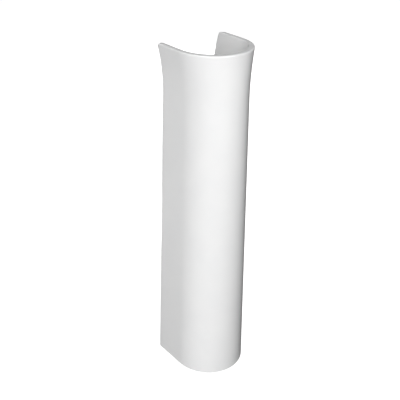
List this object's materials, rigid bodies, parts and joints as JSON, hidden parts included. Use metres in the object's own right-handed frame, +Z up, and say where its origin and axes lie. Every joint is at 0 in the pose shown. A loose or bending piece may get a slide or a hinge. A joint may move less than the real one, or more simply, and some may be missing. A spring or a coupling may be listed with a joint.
{
  "type": "basin pedestal",
  "caption": "White glazed china pedestal for a wash basin: a tall D-shaped column, open at the back, tapering upwards and flared at the rim, with bolted floor brackets hidden in its foot",
  "frame": {"origin": "middle of the foot, on the floor", "axes": "+Z up the column; the rounded nose points to -Y and the open back to +Y; left is -X, seen from in front"},
  "size_m": [0.1524, 0.1519, 0.68],
  "materials": {
    "white_china": "gloss",
    "bracket_steel": "galvanised",
    "zinc_steel": "zinc plated",
    "black_rubber": "matte",
    "white_nylon": "satin",
    "insert_nylon": "satin"
  },
  "bodies": {
    "root": {"pedestal_shell": "white_china", "floor_bracket_left": "bracket_steel", "floor_bracket_right": "bracket_steel", "bracket_bolt_left": "zinc_steel", "bracket_bolt_right": "zinc_steel", "steel_washer_rear_left": "zinc_steel", "steel_washer_rear_right": "zinc_steel", "steel_washer_front_left": "zinc_steel", "steel_washer_front_right": "zinc_steel", "lock_nut_left": "zinc_steel", "lock_nut_right": "zinc_steel", "lock_nut_insert_left": "insert_nylon", "lock_nut_insert_right": "insert_nylon", "rubber_washer_rear_left": "black_rubber", "rubber_washer_rear_right": "black_rubber", "rubber_washer_front_left": "black_rubber", "rubber_washer_front_right": "black_rubber", "nylon_sleeve_left": "white_nylon", "nylon_sleeve_right": "white_nylon"}
  },
  "joints": []
}
